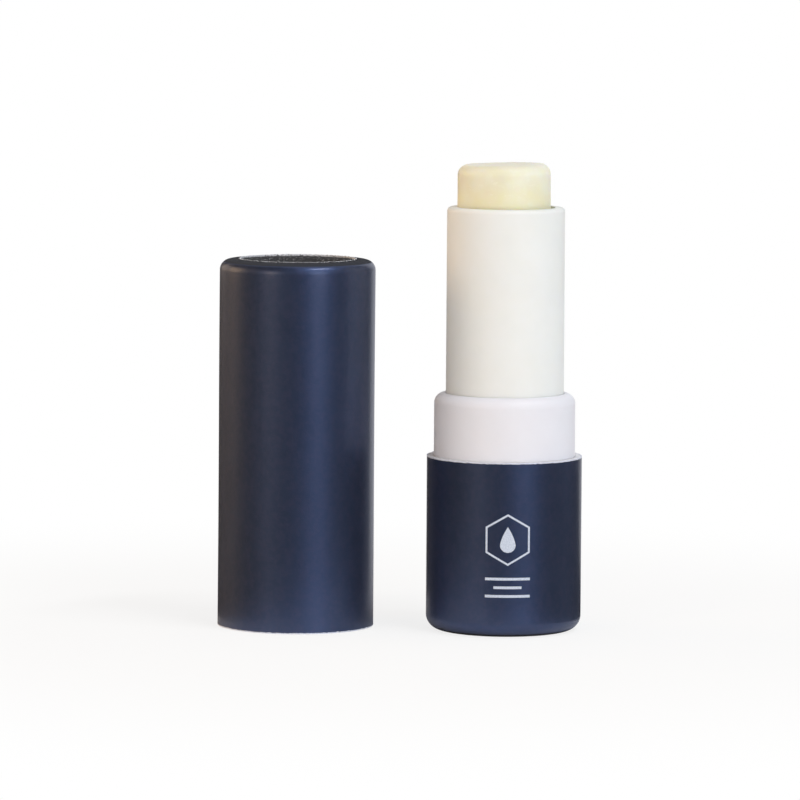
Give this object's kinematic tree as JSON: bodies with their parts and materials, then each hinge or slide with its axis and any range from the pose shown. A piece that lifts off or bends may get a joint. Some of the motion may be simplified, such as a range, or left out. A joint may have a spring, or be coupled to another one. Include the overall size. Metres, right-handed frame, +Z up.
{
  "type": "lip balm",
  "caption": "Twist-up lip balm in a rolled-edge paper tube, with a spiral sleeve that raises the wax through a plastic collar and its paper cap taken off and stood beside it.",
  "frame": {"origin": "centre of the stick's foot, on the surface it stands on", "axes": "+Z up along the stick, -Y towards the viewer of the picture, -X towards the cap that stands beside the stick"},
  "size_m": [0.047, 0.0228, 0.0601],
  "materials": {
    "board": "raw white board with slightly furry cut edges",
    "cover_paper": "navy soft-touch printed paper, satin",
    "disc_board": "rough dark board",
    "collar_plastic": "cool white moulded plastic, soft satin",
    "sleeve_plastic": "warm white moulded plastic, slightly translucent",
    "inner_plastic": "natural moulded plastic",
    "wax": "pale yellow translucent wax"
  },
  "bodies": {
    "base": {"base_tube": "board", "base_cover": "cover_paper", "base_disc": "disc_board", "collar": "collar_plastic", "guide_tube": "inner_plastic"},
    "sleeve": {"spiral_sleeve": "sleeve_plastic"},
    "carrier": {"cup": "inner_plastic", "balm": "wax"},
    "cap": {"cap_tube": "board", "cap_cover": "cover_paper", "cap_disc": "disc_board"}
  },
  "joints": [
    {"name": "sleeve_turn", "type": "hinge", "parent": "base", "child": "sleeve", "pos_m": [0, 0, 0.0255], "axis": [0, 0, 1], "range_deg": [-205.7, 732.8]},
    {"name": "balm_rise", "type": "slide", "parent": "base", "child": "carrier", "axis": [0, 0, 1], "range_m": [-0.008, 0.0285]},
    {"name": "cap_lift", "type": "slide", "parent": "base", "child": "cap", "axis": [0, 0, 1], "range_m": [0, 0.062]}
  ],
  "couplings": [
    {"joint": "balm_rise", "follows": "sleeve_turn", "m_per_rad": 0.0022282}
  ]
}
